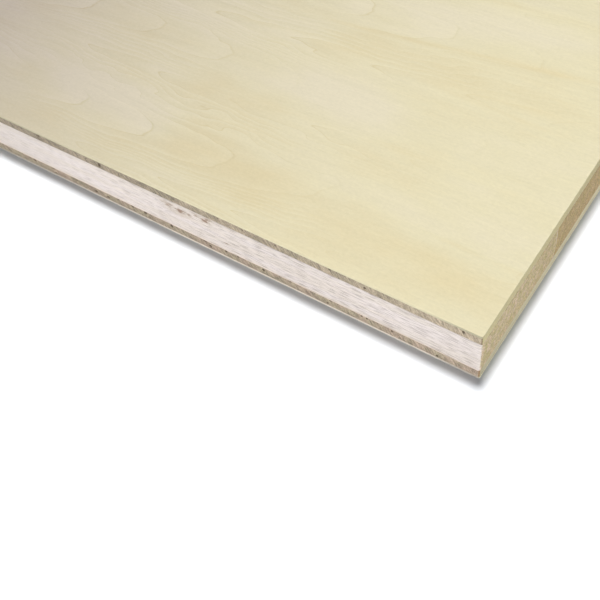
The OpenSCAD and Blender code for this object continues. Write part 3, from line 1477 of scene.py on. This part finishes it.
@dataclass
class PlywoodSheet:
    """The whole sheet: two veneers, two crossbands and the strips of the core."""

    corner: Triple
    core_nodes: tuple[str, ...]
    joint_ease: float = 0.07 * MM
    outer_strip_columns: tuple[int, int] = (896, 96)
    inner_strip_columns: tuple[int, int] = (64, 96)
    first_strip_seed: int = 100
    first_strip_tone: float = 0.15

    def face_finish(self) -> VeneerFinish:
        """Finish of the face, with its own streaks.

        Returns:
            The finish.
        """
        marks = (
            Streak((-104.0, 78.5), (8.0, 79.0), 6.5, 0.75),
            Streak((-98.0, 83.5), (6.0, 93.0), 1.3, 0.80),
            Streak((-114.0, 19.0), (-62.0, 12.0), 7.0, 0.95),
            Streak((-84.0, 10.0), (16.0, 11.0), 8.0, 0.70),
            Streak((-168.0, 8.0), (-104.0, 8.0), 4.0, 0.45),
            Streak((-125.0, 36.0), (-85.0, 40.0), 8.0, 0.30),
            Streak((-60.0, 115.0), (-5.0, 114.0), 3.0, 0.70),
            Streak((-62.0, 71.5), (14.0, 65.5), 0.9, 0.35),
            Streak((-34.0, 21.5), (16.0, 20.0), 0.8, 0.50),
            Streak((-70.0, 44.0), (20.0, 42.0), 1.5, 0.30),
            Streak((-98.0, 54.0), (-50.0, 56.0), 7.5, -1.00),
            Streak((-95.0, 100.0), (-12.0, 104.0), 7.0, -0.80),
            Streak((-155.0, 67.0), (-108.0, 69.0), 4.0, -0.60),
            Streak((-168.0, 24.0), (-109.0, 21.5), 7.0, -1.10),
            Streak((-45.0, 35.0), (10.0, 30.0), 14.0, -0.30),
        )
        return VeneerFinish(
            "face_veneer_wood",
            self.corner,
            cream=(0.578, 0.523, 0.345),
            # painted shade near the corner, random slow tone far from it
            shade=(0.312, 0.260, 0.229),
            tan=(0.97, 0.93, 0.86),
            pale=(1.02, 1.02, 1.10),
            long_edge=(0.67, 0.615, 0.41),
            end_edge=(0.50, 0.44, 0.25),
            shift=0.0,
            streaks=marks,
        )

    def back_finish(self) -> VeneerFinish:
        """Finish of the back, a little plainer than the face.

        Returns:
            The finish.
        """
        return VeneerFinish(
            "back_veneer_wood",
            self.corner,
            cream=(0.58, 0.52, 0.36),
            shade=(0.48, 0.42, 0.31),
            tan=(0.92, 0.88, 0.80),
            pale=(1.03, 1.03, 1.08),
            long_edge=(0.88, 0.80, 0.69),
            # painted light: the end edge made far lighter than the wood, to lift the shade at the
            # sheet's foot
            end_edge=(0.90, 0.84, 0.62),
            shift=140.0,
            flame_middle=20.0,
            flame_pitch=47.0,
        )

    def upper_finish(self) -> CrossbandFinish:
        """Finish of the crossband under the face, with painted shade that darkens it away from the
        corner.

        Returns:
            The finish.
        """
        return CrossbandFinish(
            "upper_crossband_wood",
            self.corner,
            end_grain=(0.465, 0.377, 0.27),
            end_grain_patch=(0.386, 0.323, 0.226),
            long_grain=(0.57, 0.495, 0.266),
            stain=(0.20, 0.14, 0.07),
            shift=200.0,
            # painted shade: how much darker end grain and long grain get away from the corner
            end_grain_shade_and_tone=0.38,
            long_grain_shade_and_tone=0.28,
            stain_reach=0.5,
            blotches=0.2,
        )

    def lower_finish(self) -> CrossbandFinish:
        """Finish of the crossband over the back, with stronger blotches.

        Returns:
            The finish.
        """
        return CrossbandFinish(
            "lower_crossband_wood",
            self.corner,
            end_grain=(0.415, 0.322, 0.243),
            end_grain_patch=(0.385, 0.322, 0.226),
            long_grain=(0.50, 0.45, 0.297),
            stain=(0.30, 0.16, 0.05),
            shift=300.0,
            # painted shade: end grain darker and long grain lighter away from the corner
            end_grain_shade_and_tone=0.14,
            long_grain_shade_and_tone=-0.35,
            stain_reach=0.6,
            blotches=0.7,
        )

    def core_finish(self) -> CoreFinish:
        """Finish of the core, with a few bark marks in its near long edge.

        Returns:
            The finish.
        """
        bark_marks = (
            BarkMark(-92.2, -5.7, 1.8, 1.0, 0.68),
            BarkMark(-92.6, -6.6, 5.4, 2.6, 0.26),
            BarkMark(-96.6, -5.2, 2.8, 1.2, 0.44),
            BarkMark(-89.0, -5.7, 1.6, 1.0, 0.42),
            BarkMark(-83.0, -5.3, 1.8, 0.95, 0.70),
            BarkMark(-83.2, -4.9, 3.6, 1.6, 0.20),
            BarkMark(-85.8, -4.6, 1.4, 0.9, 0.52),
            BarkMark(-81.4, -3.8, 1.8, 0.8, 0.45),
            BarkMark(-76.7, -11.1, 1.4, 0.42, 0.6),
        )
        underside = (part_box(self.core_nodes[0])[0][2] - self.corner[2]) / MM
        return CoreFinish("core_wood", self.corner, underside, bark_marks)

    def veneers(self) -> tuple[Ply, Ply]:
        """The two veneers, chipped along their outer arrises.

        Returns:
            The face veneer and the back veneer.
        """
        face = Ply(
            "face_veneer",
            "face_veneer_sheet",
            "face_veneer",
            Grain.LENGTHWISE,
            seed=11,
            lower_ease=self.joint_ease,
            upper_ease=0.13 * MM,
            body_rows=1,
            upper_bites=0.35 * MM,
        )
        back = Ply(
            "back_veneer",
            "back_veneer_sheet",
            "back_veneer",
            Grain.LENGTHWISE,
            seed=14,
            lower_ease=0.10 * MM,
            upper_ease=self.joint_ease,
            body_rows=1,
            lower_bites=0.30 * MM,
        )
        return face, back

    def crossband(self, node: str, seed: int, pit_gap: float, pit_depth: float) -> Ply:
        """A crossband, set back a little and pitted along the sheet's long edges.

        Args:
            node: its node in the frame.
            seed: seed of its random draws.
            pit_gap: mean distance from one pit to the next.
            pit_depth: depth of a full pit.

        Returns:
            The layer.
        """
        return Ply(
            node,
            f"{node}_sheet",
            "crossband",
            Grain.CROSSWISE,
            seed=seed,
            lower_ease=self.joint_ease,
            upper_ease=self.joint_ease,
            setback=0.03 * MM,
            body_rows=8,
            pit_gap=pit_gap,
            pit_depth=pit_depth,
        )

    def core_strip(self, number: int, node: str) -> Ply:
        """One strip of the core, which is detailed all along if it lies at a long edge.

        Args:
            number: its place in the row, from 0.
            node: its node in the frame.

        Returns:
            The layer.
        """
        outer = number in (0, len(self.core_nodes) - 1)
        return Ply(
            node,
            node.replace("core_strip", "core_board"),
            "core",
            Grain.LENGTHWISE,
            seed=self.first_strip_seed + number,
            lower_ease=self.joint_ease,
            upper_ease=self.joint_ease,
            setback=0.012 * MM,
            columns=self.outer_strip_columns if outer else self.inner_strip_columns,
            crowding=0.7 if outer else 0.2,
            body_rows=10,
            insets=(0.7 * MM, 1.8 * MM, 4.0 * MM, 8.0 * MM, 14.0 * MM),
            tone=(self.first_strip_tone + GOLDEN * number) % 1.0,
            roughness=0.014 * MM,
        )

    def layers(self) -> list[tuple[WoodFinish, list[Ply]]]:
        """Every piece of wood under its finish, from the face down.

        Returns:
            The finishes, each with its pieces.
        """
        face, back = self.veneers()
        upper = self.crossband("upper_crossband", seed=12, pit_gap=6.2 * MM, pit_depth=0.32 * MM)
        lower = self.crossband("lower_crossband", seed=13, pit_gap=3.8 * MM, pit_depth=0.42 * MM)
        strips = [self.core_strip(number, node) for number, node in enumerate(self.core_nodes)]
        return [
            (self.face_finish(), [face]),
            (self.upper_finish(), [upper]),
            (self.core_finish(), strips),
            (self.lower_finish(), [lower]),
            (self.back_finish(), [back]),
        ]

    def build(self) -> None:
        """Builds and dresses every piece."""
        for finish, plies in self.layers():
            material = finish.material()
            for ply in plies:
                obj = ply.build()
                obj.data.materials.append(material)
                faces = len(obj.data.polygons)
                log.info("%s: %d faces, %s grain, over %s", obj.name, faces, ply.grain.value, ply.node)


# ---------------------------------------------------------------------------------------------
# The studio
# ---------------------------------------------------------------------------------------------


@dataclass(frozen=True)
class DistantLight:
    """A distant soft light: the direction it shines from, its energy and its spread in degrees."""

    name: str
    towards: Triple
    energy: float
    spread: float

    def build(self) -> None:
        """Makes the light and turns its own z axis to where it shines from."""
        light = bpy.data.lights.new(self.name, "SUN")
        light.energy = self.energy
        light.angle = math.radians(self.spread)
        z = np.array(self.towards) / np.linalg.norm(self.towards)
        x = np.cross((0.0, 1.0, 0.0), z)
        x /= np.linalg.norm(x)
        turned = Matrix(np.column_stack([x, np.cross(z, x), z]).tolist()).to_4x4()
        linked(self.name, light).matrix_world = turned


@dataclass(frozen=True)
class Lamp:
    """A round lamp that hangs over the sheet and shines down, placed from the sheet's corner."""

    name: str
    offset: Triple
    width: float
    energy: float

    def build(self, corner: Triple) -> None:
        """Makes the lamp.

        Args:
            corner: the sheet's near corner.
        """
        lamp = bpy.data.lights.new(self.name, "AREA")
        lamp.shape = "DISK"
        lamp.size = self.width
        lamp.energy = self.energy
        place = tuple(start + way for start, way in zip(corner, self.offset))
        linked(self.name, lamp).location = place


@dataclass(frozen=True)
class Eye:
    """The camera: degrees around, above and rolled, and its aim counted from the sheet's corner."""

    azimuth: float = 43.71
    elevation: float = 52.74
    roll: float = -11.31
    distance: float = 205.26 * MM
    aim: Triple = (-42.38 * MM, -11.88 * MM, 0.0)
    lens: float = 51.21
    sensor: float = 36.0
    clip: Pair = (0.01, 50.0)

    def build(self, corner: Triple) -> None:
        """Makes the camera, turned around the point that it looks at.

        Args:
            corner: the sheet's near corner.
        """
        degrees = (self.azimuth, self.elevation, self.roll)
        azimuth, elevation, roll = (math.radians(angle) for angle in degrees)
        level = np.array([math.cos(azimuth), math.sin(azimuth), 0.0])
        out = np.array([math.sin(azimuth), -math.cos(azimuth), 0.0])
        back = math.cos(elevation) * out + math.sin(elevation) * np.array([0.0, 0.0, 1.0])
        upright = np.cross(back, level)
        right = math.cos(roll) * level + math.sin(roll) * upright
        up = math.cos(roll) * upright - math.sin(roll) * level
        data = bpy.data.cameras.new("camera")
        data.lens = self.lens
        data.sensor_width = self.sensor
        data.clip_start, data.clip_end = self.clip
        matrix = Matrix(np.column_stack([right, up, back]).tolist()).to_4x4()
        matrix.translation = (np.array(corner) + np.array(self.aim) + back * self.distance).tolist()
        camera = linked("camera", data)
        camera.matrix_world = matrix
        bpy.context.scene.camera = camera


@dataclass(frozen=True)
class Studio:
    """Pale floor, white wall, soft light and the camera that looks down on the sheet's near corner."""

    corner: Triple
    floor_half: float = 40.0
    floor_lines: int = 9
    wall_radius: float = 30.0
    wall_heights: Pair = (-0.01, 14.0)
    wall_columns: int = 96
    sky: Colour = (0.92, 0.98, 1.08)
    sky_strength: float = 0.15
    key: DistantLight = DistantLight("key_light", (-0.095, 0.145, 1.0), energy=3.19, spread=9.5)
    fill: DistantLight = DistantLight("fill_light", (0.50, -0.87, 0.09), energy=2.35, spread=16.0)
    lamp: Lamp = Lamp("corner_lamp", (-0.03, 0.05, 0.35), width=0.08, energy=0.242)
    eye: Eye = Eye()

    def build(self) -> None:
        """Builds the floor, the wall, the lights and the camera."""
        self.floor()
        self.backdrop()
        self.lights()
        self.eye.build(self.corner)

    def floor(self) -> None:
        """A level square grid under the sheet."""
        line = np.linspace(-self.floor_half, self.floor_half, self.floor_lines)
        x, y = np.meshgrid(line, line)
        points = np.stack([x, y, np.zeros_like(x)], axis=-1).reshape(-1, 3)
        index = np.arange(x.size).reshape(x.shape)
        floor = mesh_object("floor", points, [grid_cells(index)])
        floor.data.materials.append(FloorFinish().material())

    def backdrop(self) -> None:
        """A round white wall far behind, seen but casting no light or shadow on the sheet."""
        turn = np.linspace(0.0, math.tau, self.wall_columns + 1)[:-1]
        x, y = self.wall_radius * np.cos(turn), self.wall_radius * np.sin(turn)
        rows = [np.stack([x, y, np.full_like(x, height)], axis=-1) for height in self.wall_heights]
        index = np.arange(2 * len(turn)).reshape(2, -1)
        after = np.roll(index, -1, axis=1)
        cells = np.stack([index[0], index[1], after[1], after[0]], axis=-1)
        wall = mesh_object("backdrop", np.concatenate(rows), [cells])
        wall.data.materials.append(BackdropFinish().material())
        wall.visible_diffuse = False
        wall.visible_shadow = False

    def lights(self) -> None:
        """An even sky, a soft high key, a low fill on the front edge and a lamp over the corner."""
        world = bpy.data.worlds.new("soft_sky")
        world.use_nodes = True
        background = world.node_tree.nodes["Background"]
        background.inputs["Color"].default_value = rgba(self.sky)
        background.inputs["Strength"].default_value = self.sky_strength
        bpy.context.scene.world = world
        self.key.build()
        self.fill.build()
        self.lamp.build(self.corner)


def main() -> None:
    """Builds the sheet and the studio."""
    logging.basicConfig(level=logging.INFO, format="%(name)s: %(message)s")
    low, high = CAD_BOX
    corner = (float(high[0]), float(low[1]), float(high[2]))
    strips = sorted(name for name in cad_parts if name.startswith("core_strip_"))
    PlywoodSheet(corner, tuple(strips)).build()
    Studio(corner).build()
    bpy.context.scene.view_settings.view_transform = "Standard"


if __name__ == "__main__":
    main()
